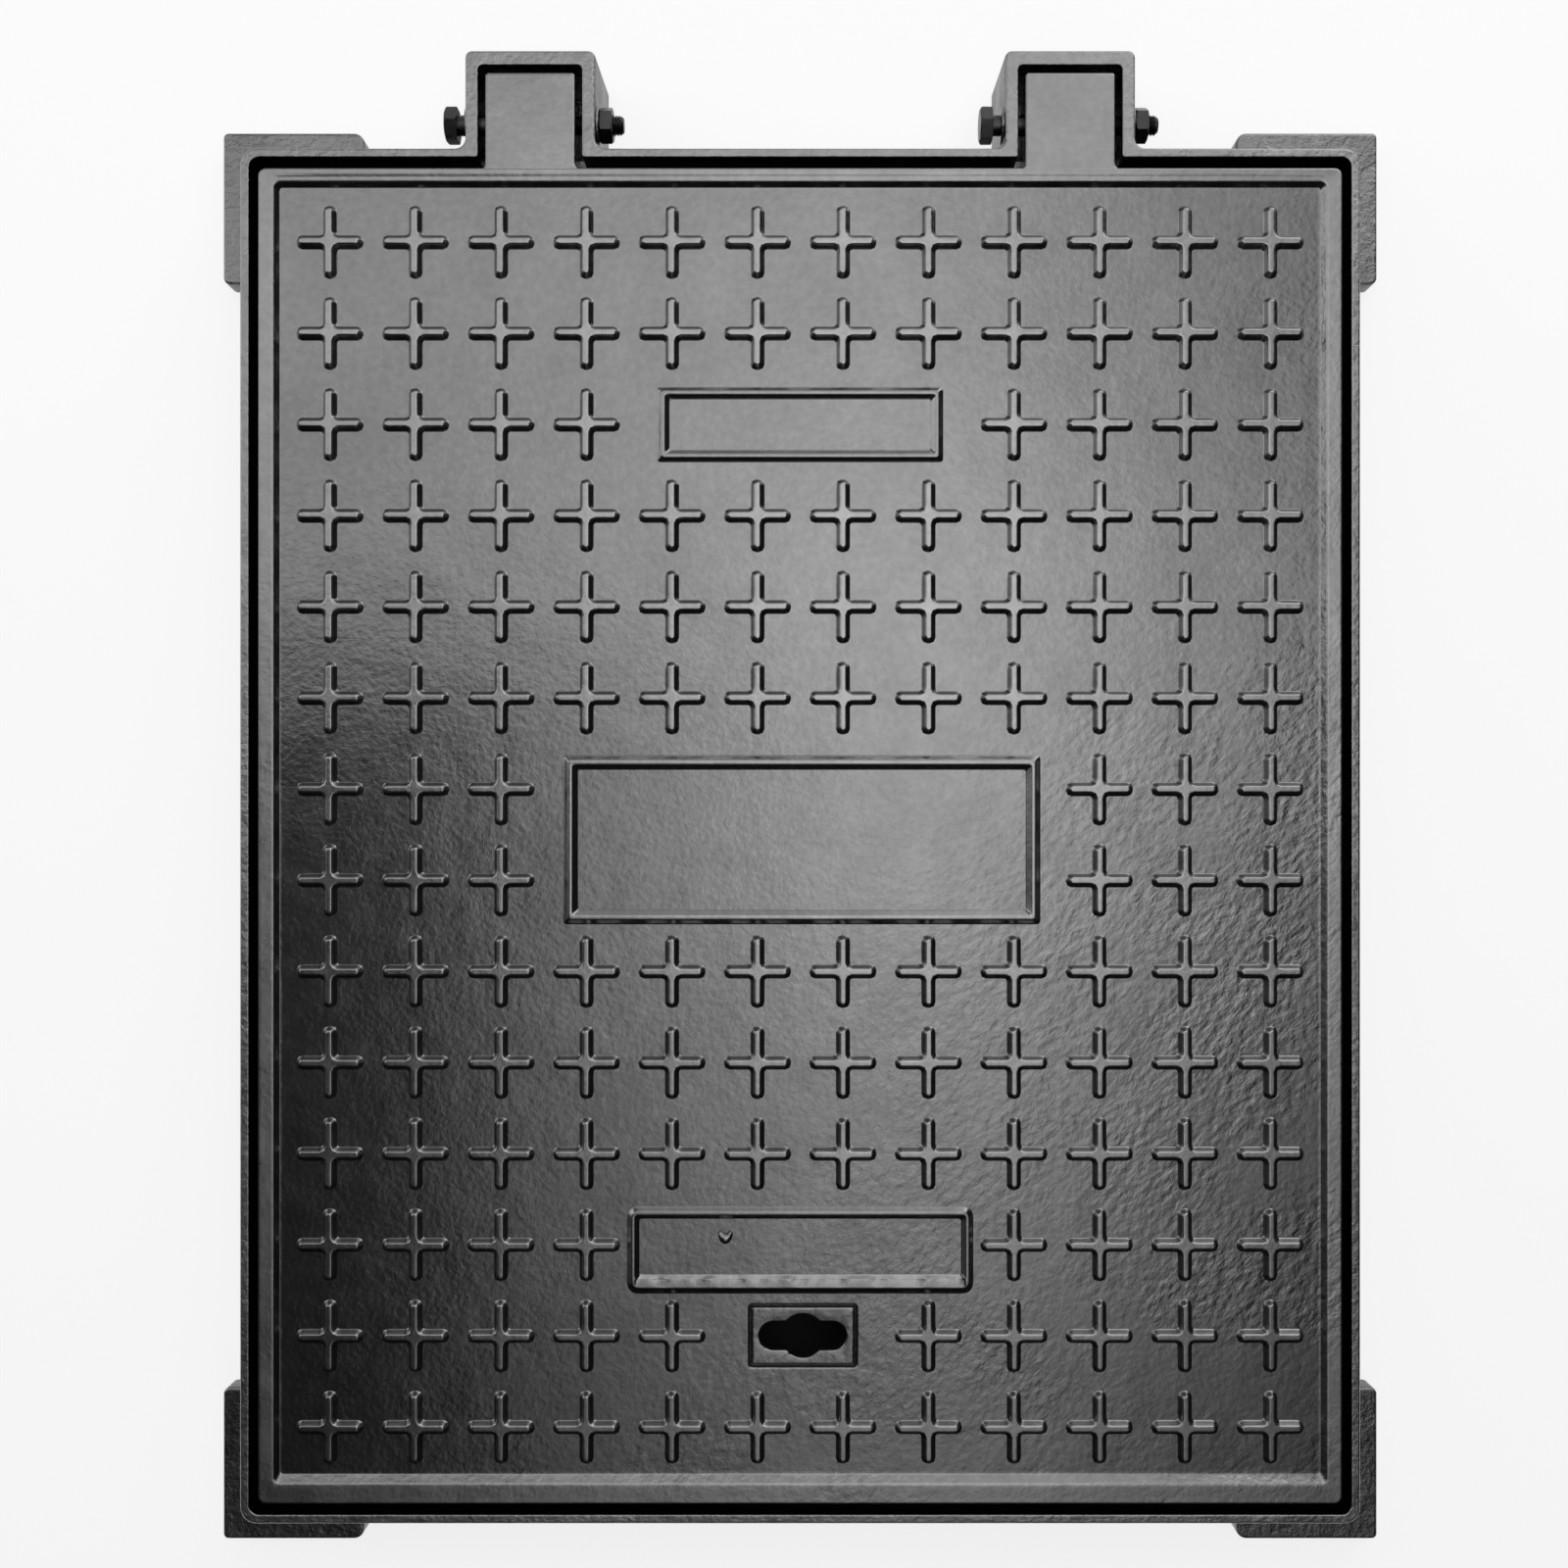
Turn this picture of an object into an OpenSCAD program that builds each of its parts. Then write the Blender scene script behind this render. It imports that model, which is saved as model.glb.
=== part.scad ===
// Hinged access cover and frame for a septic tank, cast in ductile iron.
// +Z is up, the hinges lie at +Y and the key slot near -Y. All sizes are in millimetres.

/* [Cover] */
// Width of the cover across its rim
cover_w = 646; // [560:2:800]
// Length of the cover from its hinge edge to its front edge
cover_l = 796; // [700:2:960]
// Radius of the cover's corners in plan
cover_corner_r = 4.5; // [3:0.5:10]
// Depth of the skirt, from the rim's top down to the seat
skirt_h = 24; // [20:1:30]
// Thickness of the skirt at its foot
skirt_t = 8; // [6:0.5:12]
// Amount the skirt leans in from top to foot
skirt_draft = 1; // [0.5:0.25:2]
// Bevel along the rim's outer top edge
rim_bevel = 0.8; // [0.4:0.1:1.5]
// Flat top of the raised rim along the two sides
rim_flat_side = 8.8; // [7:0.2:14]
// Flat top of the raised rim along the hinge edge
rim_flat_hinge = 7; // [6:0.2:14]
// Flat top of the raised rim along the front edge
rim_flat_front = 10; // [7:0.2:16]
// Depth of the tread field below the rim
field_depth = 4; // [3:0.25:6]
// Run of the slope from the rim down to the field
field_slope = 3.5; // [2:0.25:5]
// Thickness of the plate under the field
plate_t = 7; // [5:0.5:10]

/* [Treads] */
// Length of a tread cross across the cover, tip to tip at its foot
tread_len = 39; // [32:1:42]
// Length of a tread cross along the cover, tip to tip at its foot
tread_len_y = 42.5; // [34:0.5:46]
// Width of a cross arm at its foot
tread_w = 8; // [6.4:0.2:9]
// Amount the sides of an arm lean in up to its top
tread_draft = 2; // [1:0.25:2.5]
// Wanted spacing of the crosses across the cover
tread_pitch_x = 51; // [48:1:60]
// Wanted spacing of the crosses along the cover
tread_pitch_y = 54; // [48:1:60]
// Clear field outside the outermost crosses at the two sides
tread_edge_x = 10.2; // [6:0.2:14]
// Clear field outside the outermost crosses at the two ends
tread_edge_y = 10.65; // [6:0.05:18]
// Distance of the tread grid's middle from the field's middle, towards the front edge
tread_drop = 0.8; // [0:0.2:3]
// Least room kept between a cross and a label border or the key slot
tread_clear = 3; // [1:0.5:5]

/* [Labels] */
// Outer width of the middle label border
label_mid_w = 284; // [240:2:290]
// Outer length of the middle label border
label_mid_l = 100; // [80:1:104]
// Outer width of the label border near the hinges
label_back_w = 170; // [150:2:200]
// Outer length of the label border near the hinges
label_back_l = 44; // [36:1:50]
// Outer width of the label border near the key slot
label_front_w = 206; // [180:2:208]
// Outer length of the label border near the key slot
label_front_l = 51; // [40:1:54]
// Tread rows from the middle of the field to the back label
label_back_rows = 4.5; // [3.5:1:5.5]
// Tread rows from the middle of the field to the front label
label_front_rows = 4.5; // [3.5:1:4.5]
// Distance of the middle label below the middle of the tread grid, towards the front edge
label_mid_drop = 3; // [0:0.5:5]
// Distance of the middle label to the right of the cover's middle
label_mid_right = 1; // [0:0.2:2]
// Distance of the front label beyond its tread row
label_front_drop = 3; // [0:0.5:5]
// Foot width of the middle label's border
border_mid_w = 7.6; // [6:0.2:9]
// Foot width of the back and front labels' borders
border_w = 6.4; // [4:0.2:8]
// Extra width of the front label's lower border bar
border_lip = 5; // [0:0.5:6]
// Height of the middle label's border
border_mid_h = 3.4; // [2:0.2:4]
// Height of the back and front labels' borders
border_h = 2.6; // [1.6:0.2:3.6]
// Share of a border's foot width that each of its slopes takes
border_slope = 0.38; // [0.15:0.01:0.39]
// Radius of a label border's outer corners
border_r = 3; // [2:0.25:5]

/* [Key slot] */
// Length of the key slot
key_slot_l = 52; // [44:1:60]
// Width of the key slot
key_slot_w = 17; // [12:0.5:20]
// Diameter of the round opening in the slot's middle
key_hole_d = 26; // [22:1:32]
// Tread rows from the middle of the field to the key slot
key_rows = 5.5; // [4.5:1:5.5]
// Distance of the key slot to the right of the cover's middle
key_right = 1.6; // [0:0.2:3]
// Inner width of the engraved outline round the slot
key_outline_w = 60; // [56:1:70]
// Inner length of the engraved outline round the slot
key_outline_l = 33; // [30:1:38]
// Width of the engraved line
key_line_w = 2.8; // [1.5:0.1:3]
// Depth of the engraved line
key_line_d = 1.2; // [0.6:0.1:2]
// Thickness of the pad cast under the plate round the slot
key_pad_t = 5; // [3:0.5:8]
// Room between the slot's end and the pad's edge
key_pad_edge = 10; // [8:1:14]

/* [Ribs] */
// Number of ribs that run across the cover
ribs_across = 3; // [2:1:4]
// Number of ribs that run along the cover
ribs_along = 2; // [1:1:3]
// Rib thickness at its root under the plate
rib_root_t = 9; // [7:0.5:12]
// Rib thickness along its lower edge
rib_edge_t = 6; // [4:0.5:8]
// Depth of a rib below the plate at mid span
rib_deep = 27; // [20:1:30]
// Depth of a rib below the plate beside the frame's lip
rib_shallow = 15; // [13:1:18]
// Share of a rib's length over which it is at full depth
rib_flat_share = 0.4; // [0.2:0.05:0.6]
// Clearance between a rib and the frame's lip
rib_clear = 4; // [3:0.5:8]
// Clearance of a rib above the frame's seat
rib_over_seat = 2; // [1:0.5:4]

/* [Frame] */
// Height of the frame from its base to its top
frame_h = 60; // [56:1:90]
// Gap between cover and frame along the two sides
gap_side = 5.5; // [3:0.5:8]
// Gap between cover and frame at the hinge edge and the front edge
gap_end = 6.5; // [4:0.5:8]
// Thickness of the frame's wall at its top
wall_t = 5.5; // [4.5:0.5:9]
// Amount the frame's outer faces flare from top to base
wall_draft = 2; // [1:0.25:4]
// Bevel along the frame's outer top edge
wall_bevel = 1.5; // [0.5:0.25:2]
// Radius of the frame's inner corners in plan
frame_corner_r = 6; // [5:0.5:14]
// Width of the seat ledge at the two sides, from the wall's inner face
seat_side = 28.5; // [24:0.5:36]
// Width of the seat ledge at the two ends, from the wall's inner face
seat_end = 29.5; // [24:0.5:36]
// Thickness of the seat ledge
seat_t = 8; // [6:0.5:12]
// Radius of the clear opening's corners
opening_r = 12; // [8:1:20]
// Depth of the lip below the seat ledge
lip_h = 12; // [6:1:16]
// Thickness of the lip
lip_t = 6; // [5:0.5:9]
// Thickness of the gussets under the seat ledge
gusset_t = 6; // [5:0.5:9]
// Number of gussets along each long side
gussets_long = 5; // [3:1:7]
// Number of gussets along each short side
gussets_short = 4; // [2:1:6]
// Height of a gusset's foot above the frame's base
gusset_foot = 2; // [1:0.5:5]

/* [Feet] */
// Reach of a corner foot beyond the frame's top edge at the sides
foot_reach_x = 23; // [16:1:34]
// Reach of a corner foot beyond the frame's top edge at the ends
foot_reach_y = 25; // [16:1:34]
// Length of a foot's leg along the short side
foot_leg_x = 87; // [60:1:120]
// Length of a foot's leg along the long side
foot_leg_y = 93.5; // [60:1:120]
// Height of the corner feet
foot_h = 18; // [12:1:30]
// Radius of a foot's outer corner
foot_corner_r = 3; // [2:0.5:8]
// Radius at the ends of a foot's legs
foot_end_r = 8; // [4:0.5:12]

/* [Hinges] */
// Distance between the middles of the two hinges
hinge_span = 322; // [260:2:400]
// Distance of the hinge axis beyond the cover's edge
axis_out = 31; // [29:0.5:34]
// Depth of the hinge axis below the top
axis_drop = 15.5; // [13.5:0.5:18]
// Width of a hinge lug
lug_w = 53.7; // [46:0.5:64]
// Reach of a hinge lug beyond the cover's edge
lug_reach = 57; // [54:0.5:62]
// Thickness of a lug's top plate
lug_plate_t = 11; // [9:0.5:12]
// Thickness of the two cheeks under a lug's plate
lug_cheek_t = 10; // [8:0.5:14]
// Radius of a cheek round the bolt
lug_boss_r = 13; // [11:0.5:14]
// Radius of a lug's tip corners in plan
lug_corner_r = 2; // [1:0.25:4]
// Radius of the fillet where a lug leaves the cover's edge
lug_fillet_r = 3.5; // [2:0.25:5]
// Gap between a lug and the side walls of its housing
lug_side_gap = 4.2; // [2:0.1:6]
// Gap between a lug's tip and the end wall of its housing
lug_tip_gap = 4.4; // [3:0.1:8]
// Least clearance of a lug's tip from the end wall while it turns
swing_clear = 1; // [0.5:0.1:2]
// Clearance under a lug where it crosses the frame's wall
lug_under_gap = 2; // [1:0.5:4]
// Thickness of a housing's side walls at the top
housing_side_t = 7.7; // [6:0.1:10]
// Thickness of a housing's end wall at the top
housing_end_t = 8.7; // [6:0.1:12]
// Radius of a housing's outer corners at the top
housing_r = 4; // [3:0.25:7]
// Radius of a housing's inner corners
housing_inner_r = 3; // [2:0.25:5]
// Bevel along a housing's outer top edge
housing_bevel = 1; // [0.5:0.1:1.5]
// Radius of the fillet between a housing and the frame's wall
housing_fillet_r = 6; // [4:0.5:10]
// Thickness of a housing's floor
housing_floor_t = 6; // [4:0.5:9]

/* [Bolts] */
// Diameter of the hinge bolts
bolt_d = 12; // [10:0.5:14]
// Length of a bolt's shank
bolt_len = 100; // [96:1:120]
// Width across flats of the bolt heads and nuts
hex_af = 19; // [17:0.5:22]
// Width of the flat face left on a hexagon's end, as a share of its width across flats
hex_face = 0.97; // [0.9:0.01:0.99]
// Thickness of a bolt head
head_t = 7.5; // [6:0.5:10]
// Thickness of a nut
nut_t = 8; // [6:0.5:10]
// Length of shank left bare between a head and its boss
head_gap = 5; // [0.5:0.5:8]
// Bevel at a bolt's threaded end
bolt_end_bevel = 1.4; // [0.5:0.1:2]
// Radial clearance of a bolt in the bores it passes through
bolt_clear = 0.08; // [0.04:0.01:0.1]
// Diameter of the boss round each bore of a housing
boss_d = 22; // [20:1:24]
// Height of a boss above the housing's wall at the axis
boss_rise = 1; // [0.5:0.25:2]

/* [Hidden] */
$fn = 48;
eps = 0.01;
root = 1;

iron_frame = [0.17, 0.175, 0.18];
iron_cover = [0.2, 0.205, 0.21];
steel_bolt = [0.13, 0.135, 0.14];

// Heights
top_z = frame_h;
seat_z = top_z - skirt_h;
field_z = top_z - field_depth;
plate_under_z = field_z - plate_t;
ledge_under_z = seat_z - seat_t;
lip_under_z = ledge_under_z - lip_h;

// Frame in plan, with the cover's middle at x = 0, y = 0
inner_w = cover_w + 2 * gap_side;
inner_l = cover_l + 2 * gap_end;
outer_w = inner_w + 2 * wall_t;
outer_l = inner_l + 2 * wall_t;
opening_w = inner_w - 2 * seat_side;
opening_l = inner_l - 2 * seat_end;
base_half_w = outer_w / 2 + foot_reach_x;
base_half_l = outer_l / 2 + foot_reach_y;

// Hinges
axis_y = cover_l / 2 + axis_out;
axis_z = top_z - axis_drop;
lug_tip_y = cover_l / 2 + lug_reach;
pocket_w = lug_w + 2 * lug_side_gap;
pocket_end_y = lug_tip_y + lug_tip_gap;
swing_r = pocket_end_y - axis_y - swing_clear;
housing_w = pocket_w + 2 * housing_side_t;
housing_end_y = pocket_end_y + housing_end_t;
pocket_start_y = inner_l / 2 + wall_t + wall_draft;
bore_d = bolt_d + 2 * bolt_clear;
wall_lean_at_axis = wall_draft * axis_drop / top_z;
boss_x = housing_w / 2 + wall_lean_at_axis + boss_rise;
head_x = boss_x + head_gap;

// The base's middle, seen from above, is the origin
origin_y = (housing_end_y + wall_draft - base_half_l) / 2;

// Tread field, which lies off the cover's middle because the rim's flats differ
field_w = cover_w - 2 * rim_flat_side - 2 * field_slope;
field_l = cover_l - rim_flat_hinge - rim_flat_front - 2 * field_slope;
field_y = (rim_flat_front - rim_flat_hinge) / 2;
tread_span_x = field_w - 2 * tread_edge_x - tread_len;
tread_span_y = field_l - 2 * tread_edge_y - tread_len_y;
tread_cols = 2 * round((tread_span_x / tread_pitch_x + 1) / 2);
tread_rows = 2 * round((tread_span_y / tread_pitch_y + 1) / 2);
step_x = tread_span_x / (tread_cols - 1);
step_y = tread_span_y / (tread_rows - 1);

// What the crosses keep clear of: middle and size of each border and of the key outline
tread_y = field_y - tread_drop;
label_mid = [[label_mid_right, tread_y - label_mid_drop], [label_mid_w, label_mid_l]];
label_back = [[0, tread_y + label_back_rows * step_y], [label_back_w, label_back_l]];
label_front = [[0, tread_y - label_front_rows * step_y - label_front_drop], [label_front_w, label_front_l]];
key_y = tread_y - key_rows * step_y;
key_outline = [[key_right, key_y], [key_outline_w + 2 * key_line_w, key_outline_l + 2 * key_line_w]];
kept_clear = [label_mid, label_back, label_front, key_outline];

function covers(place, c) =
    abs(c[0] - place[0][0]) < (place[1][0] + tread_len) / 2 + tread_clear &&
    abs(c[1] - place[0][1]) < (place[1][1] + tread_len_y) / 2 + tread_clear;

tread_centres = [
    for (j = [0 : tread_rows - 1], i = [0 : tread_cols - 1])
        let (c = [(i - (tread_cols - 1) / 2) * step_x, tread_y + (j - (tread_rows - 1) / 2) * step_y])
        if (len([for (place = kept_clear) if (covers(place, c)) 1]) == 0) c
];

// Moves a node from the cover's middle to the base's middle
module placed() {
    translate([0, -origin_y, 0]) children();
}

// Runs a section drawn in (x, z) along y, over the given length about the middle
module along_y(length) {
    translate([0, length / 2, 0]) rotate([90, 0, 0]) linear_extrude(length) children();
}

// Runs a section drawn in (y, z) along x, over the given length about the middle
module along_x(length) {
    translate([-length / 2, 0, 0]) rotate([90, 0, 90]) linear_extrude(length) children();
}

// Trapezoid that narrows by the draft on each side up to the height
module tapered(width, height, draft) {
    polygon([[-width / 2, 0], [width / 2, 0], [width / 2 - draft, height], [-width / 2 + draft, height]]);
}

// Block with round corners and leaning sides; the sizes and the radius are those of its foot
module drafted_block(size, r, height, draft) {
    along_y(size[1] - 2 * r) tapered(size[0], height, draft);
    along_x(size[0] - 2 * r) tapered(size[1], height, draft);
    for (sx = [-1, 1], sy = [-1, 1])
        translate([sx * (size[0] / 2 - r), sy * (size[1] / 2 - r), 0])
            cylinder(h = height, r1 = r, r2 = r - draft);
}

// Straight-sided plate with round corners
module rounded_plan(size, r) {
    square([size[0] - 2 * r, size[1]], center = true);
    square([size[0], size[1] - 2 * r], center = true);
    for (sx = [-1, 1], sy = [-1, 1])
        translate([sx * (size[0] / 2 - r), sy * (size[1] / 2 - r)]) circle(r);
}

// Concave fillet in the corner at the origin, rooted in the two faces behind it
module fillet_plan(r) {
    difference() {
        translate([-root, -root]) square(r + root);
        translate([r, r]) circle(r);
    }
}

// Hexagon bar along x with the corners turned down at one or both ends
module hexagon(thickness, corners_up, both_ends) {
    intersection() {
        rotate([0, 90, 0]) rotate([0, 0, corners_up ? 0 : 30])
            cylinder(h = thickness, d = hex_af / cos(30), $fn = 6);
        hex_turned(thickness, both_ends);
    }
}

// The turned outline that takes a hexagon's corners down
module hex_turned(thickness, both_ends) {
    corner_r = hex_af / 2 / cos(30) + eps;
    face_r = hex_af / 2 * hex_face;
    fall = (corner_r - face_r) * tan(30);
    first_end = both_ends ? [[face_r, 0], [corner_r, fall]] : [[corner_r, 0]];
    rotate([0, 90, 0]) rotate_extrude()
        polygon(concat([[0, 0]], first_end, [[corner_r, thickness - fall], [face_r, thickness], [0, thickness]]));
}

// Solid shape inside the frame's outer faces, before the middle is taken out
module frame_outside() {
    upright = top_z - wall_bevel;
    flare = [2 * wall_draft, 2 * wall_draft];
    outer_r = frame_corner_r + wall_t;
    drafted_block([outer_w, outer_l] + flare, outer_r + wall_draft, upright, wall_draft);
    translate([0, 0, upright]) drafted_block([outer_w, outer_l], outer_r, wall_bevel, wall_bevel);
}

// Solid shape of one hinge housing, from the wall's inside to its end
module housing_outside() {
    upright = top_z - housing_bevel;
    flare = [2 * wall_draft, 2 * wall_draft];
    start_y = inner_l / 2 - housing_side_t - housing_r;
    size = [housing_w, housing_end_y - start_y];
    translate([0, (housing_end_y + start_y) / 2, 0]) {
        drafted_block(size + flare, housing_r + wall_draft, upright, wall_draft);
        translate([0, 0, upright]) drafted_block(size, housing_r, housing_bevel, housing_bevel);
    }
    for (s = [0, 1]) mirror([s, 0, 0])
        translate([housing_w / 2, outer_l / 2, 0]) linear_extrude(top_z - wall_bevel) fillet_plan(housing_fillet_r);
    translate([0, axis_y, axis_z]) rotate([0, 90, 0]) cylinder(h = 2 * boss_x, d = boss_d, center = true);
}

// Room inside one housing: the well under the lug and the way through the frame's wall
module housing_pocket() {
    well_l = pocket_end_y - pocket_start_y;
    way_start_y = inner_l / 2 - root;
    way_l = pocket_end_y - way_start_y;
    translate([0, pocket_end_y - well_l / 2, housing_floor_t]) linear_extrude(top_z)
        rounded_plan([pocket_w, well_l], housing_inner_r);
    translate([0, pocket_end_y - way_l / 2, seat_z - lug_under_gap]) linear_extrude(top_z)
        union() {
            rounded_plan([pocket_w, way_l], housing_inner_r);
            translate([-pocket_w / 2, -way_l / 2]) square([pocket_w, way_l / 2]);
        }
}

// Outline of one L-shaped foot, in the corner at +x, +y
module foot_plan() {
    inside = [inner_w / 2 - frame_corner_r, inner_l / 2 - frame_corner_r];
    end_x = base_half_w - foot_leg_x;
    end_y = base_half_l - foot_leg_y;
    difference() {
        union() {
            translate([end_x, inside[1]]) square([foot_leg_x, base_half_l - inside[1]]);
            translate([inside[0], end_y]) square([base_half_w - inside[0], foot_leg_y]);
        }
        translate([base_half_w, base_half_l]) corner_cut(foot_corner_r);
        translate([end_x, base_half_l]) mirror([1, 0]) corner_cut(foot_end_r);
        translate([base_half_w, end_y]) mirror([0, 1]) corner_cut(foot_end_r);
    }
}

// What rounding takes off an outer corner that points to +x, +y at the origin
module corner_cut(r) {
    difference() {
        translate([-r, -r]) square(r + root);
        translate([-r, -r]) circle(r);
    }
}

// Seat ledge with its lip, inside the wall
module seat() {
    grip = [2 * root, 2 * root];
    difference() {
        union() {
            translate([0, 0, ledge_under_z]) linear_extrude(seat_t)
                rounded_plan([inner_w, inner_l] + grip, frame_corner_r + root);
            translate([0, 0, lip_under_z]) linear_extrude(lip_h + root)
                rounded_plan([opening_w + 2 * lip_t, opening_l + 2 * lip_t], opening_r + lip_t);
        }
        translate([0, 0, lip_under_z - root]) linear_extrude(lip_h + seat_t + 2 * root)
            rounded_plan([opening_w, opening_l], opening_r);
    }
}

// One gusset under the ledge, drawn for a wall at +x; out is the wall's inner face and in the lip's outer face
module gusset(out, in) {
    rotate([90, 0, 0]) translate([0, 0, -gusset_t / 2]) linear_extrude(gusset_t)
        polygon([
            [out + root, gusset_foot], [out + root, ledge_under_z + root],
            [in - root, ledge_under_z + root], [in - root, lip_under_z]
        ]);
}

// Evenly spaced places over a length, with the given count
function spaced(count, length) = [for (i = [1 : count]) (i / (count + 1) - 0.5) * length];

module gussets() {
    for (s = [0, 1]) mirror([s, 0, 0])
        for (y = spaced(gussets_long, inner_l))
            translate([0, y, 0]) gusset(inner_w / 2, opening_w / 2 + lip_t);
    for (s = [0, 1]) mirror([0, s, 0])
        for (x = spaced(gussets_short, inner_w))
            translate([x, 0, 0]) rotate([0, 0, 90]) gusset(inner_l / 2, opening_l / 2 + lip_t);
}

module frame() {
    color(iron_frame) placed() difference() {
        union() {
            difference() {
                union() {
                    frame_outside();
                    for (s = [-1, 1]) translate([s * hinge_span / 2, 0, 0]) housing_outside();
                    for (sx = [0, 1], sy = [0, 1]) mirror([sx, 0, 0]) mirror([0, sy, 0])
                        linear_extrude(foot_h) foot_plan();
                }
                translate([0, 0, -root]) linear_extrude(top_z + 2 * root)
                    rounded_plan([inner_w, inner_l], frame_corner_r);
            }
            seat();
            gussets();
        }
        for (s = [-1, 1]) translate([s * hinge_span / 2, 0, 0]) {
            housing_pocket();
            bolt_bore(2 * boss_x + root);
        }
    }
}

// Bore on the hinge axis
module bolt_bore(length) {
    translate([0, axis_y, axis_z]) rotate([0, 90, 0]) cylinder(h = length, d = bore_d, center = true);
}

// Solid shape of the cover inside its outer faces, with the bevel along its top edge
module cover_outside() {
    upright = skirt_h - rim_bevel;
    lean = [2 * skirt_draft, 2 * skirt_draft];
    translate([0, 0, seat_z])
        drafted_block([cover_w, cover_l] - lean, cover_corner_r - skirt_draft, upright, -skirt_draft);
    translate([0, 0, top_z - rim_bevel]) drafted_block([cover_w, cover_l], cover_corner_r, rim_bevel, rim_bevel);
}

// Sunken field that the treads stand in
module field_room() {
    field_r = max(cover_corner_r - rim_flat_hinge / 2, 1);
    translate([0, field_y, field_z])
        drafted_block([field_w, field_l], field_r, field_depth, -field_slope);
    translate([0, field_y, top_z - eps]) linear_extrude(root)
        rounded_plan([field_w + 2 * field_slope, field_l + 2 * field_slope], field_r + field_slope);
}

// Hollow under the plate, inside the skirt
module underside_room() {
    wall_now = 2 * (skirt_draft + skirt_t);
    depth = plate_under_z - seat_z;
    translate([0, 0, seat_z - root])
        drafted_block([cover_w - wall_now, cover_l - wall_now], cover_corner_r, depth + root, skirt_draft);
}

// Rib outline over a clear span, in (along, z), deeper in the middle and shallow where it crosses the seat
module rib_outline(skirt_span, opening_span) {
    reach = skirt_span / 2;
    edge = opening_span / 2 - rib_clear;
    flat = edge * rib_flat_share;
    high = plate_under_z + root;
    over_seat = seat_z + rib_over_seat;
    beside_lip = plate_under_z - rib_shallow;
    low = plate_under_z - rib_deep;
    polygon([
        [-reach, high], [-reach, over_seat], [-edge, over_seat], [-edge, beside_lip], [-flat, low],
        [flat, low], [edge, beside_lip], [edge, over_seat], [reach, over_seat], [reach, high]
    ]);
}

// Rib section: thin along its lower edge and thick at the plate
module rib_section() {
    low = plate_under_z - rib_deep;
    height = rib_deep + root;
    polygon([
        [-rib_edge_t / 2, low], [rib_edge_t / 2, low],
        [rib_root_t / 2, low + height], [-rib_root_t / 2, low + height]
    ]);
}

module ribs() {
    skirt_now = 2 * (skirt_draft + skirt_t) - 2 * root;
    for (y = spaced(ribs_across, opening_l)) translate([0, y, 0]) intersection() {
        rotate([90, 0, 0]) translate([0, 0, -rib_root_t])
            linear_extrude(2 * rib_root_t) rib_outline(cover_w - skirt_now, opening_w);
        along_x(cover_w) rib_section();
    }
    for (x = spaced(ribs_along, opening_w)) translate([x, 0, 0]) intersection() {
        along_x(2 * rib_root_t) rib_outline(cover_l - skirt_now, opening_l);
        along_y(cover_l) rib_section();
    }
}

// Side outline of a lug's cheek or plate, in (y, z)
module lug_side(with_cheek) {
    start_y = cover_l / 2 - skirt_t;
    under_plate = top_z - lug_plate_t;
    translate([start_y, under_plate]) square([axis_y - start_y, lug_plate_t]);
    intersection() {
        translate([axis_y, under_plate]) square([lug_reach - axis_out, lug_plate_t]);
        translate([axis_y, axis_z]) circle(swing_r);
    }
    if (with_cheek) {
        translate([start_y, seat_z]) square([axis_y - start_y, skirt_h - lug_plate_t + root]);
        translate([axis_y, axis_z]) circle(lug_boss_r);
    }
}

// One hinge lug: a plate with a cheek under each side
module lug() {
    start_y = cover_l / 2 - skirt_t;
    intersection() {
        union() {
            along_x(lug_w) lug_side(false);
            for (s = [-1, 1]) translate([s * (lug_w - lug_cheek_t) / 2, 0, 0]) along_x(lug_cheek_t) lug_side(true);
        }
        translate([0, (lug_tip_y + start_y - lug_w) / 2, 0]) linear_extrude(top_z)
            rounded_plan([lug_w, lug_tip_y - start_y + lug_w], lug_corner_r);
    }
    for (s = [0, 1]) mirror([s, 0, 0]) translate([lug_w / 2, cover_l / 2, seat_z])
        linear_extrude(skirt_h - rim_bevel) fillet_plan(lug_fillet_r);
}

// Key slot in plan: a slot with a round opening in its middle
module key_plan() {
    ends = (key_slot_l - key_slot_w) / 2;
    square([2 * ends, key_slot_w], center = true);
    for (s = [-1, 1]) translate([s * ends, 0]) circle(d = key_slot_w);
    circle(d = key_hole_d);
}

// Engraved outline round the key slot
module key_outline_room() {
    translate([key_right, key_y, field_z - key_line_d]) linear_extrude(key_line_d + root) difference() {
        square(key_outline[1], center = true);
        square([key_outline_w, key_outline_l], center = true);
    }
}

// Thickened pad under the plate round the key slot
module key_pad() {
    size = [key_slot_l + 2 * key_pad_edge, key_hole_d + 2 * key_pad_edge];
    translate([key_right, key_y, plate_under_z - key_pad_t]) linear_extrude(key_pad_t + root)
        rounded_plan(size, key_pad_edge / 2);
}

// One tread cross, standing on the field
module tread() {
    for (turn = [0, 90]) rotate(turn) {
        arm = (turn == 0 ? tread_len : tread_len_y) - tread_w;
        along_x(arm) tapered(tread_w, field_depth, tread_draft);
        for (s = [-1, 1]) translate([s * arm / 2, 0, 0])
            cylinder(h = field_depth, r1 = tread_w / 2, r2 = tread_w / 2 - tread_draft);
    }
}

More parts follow.
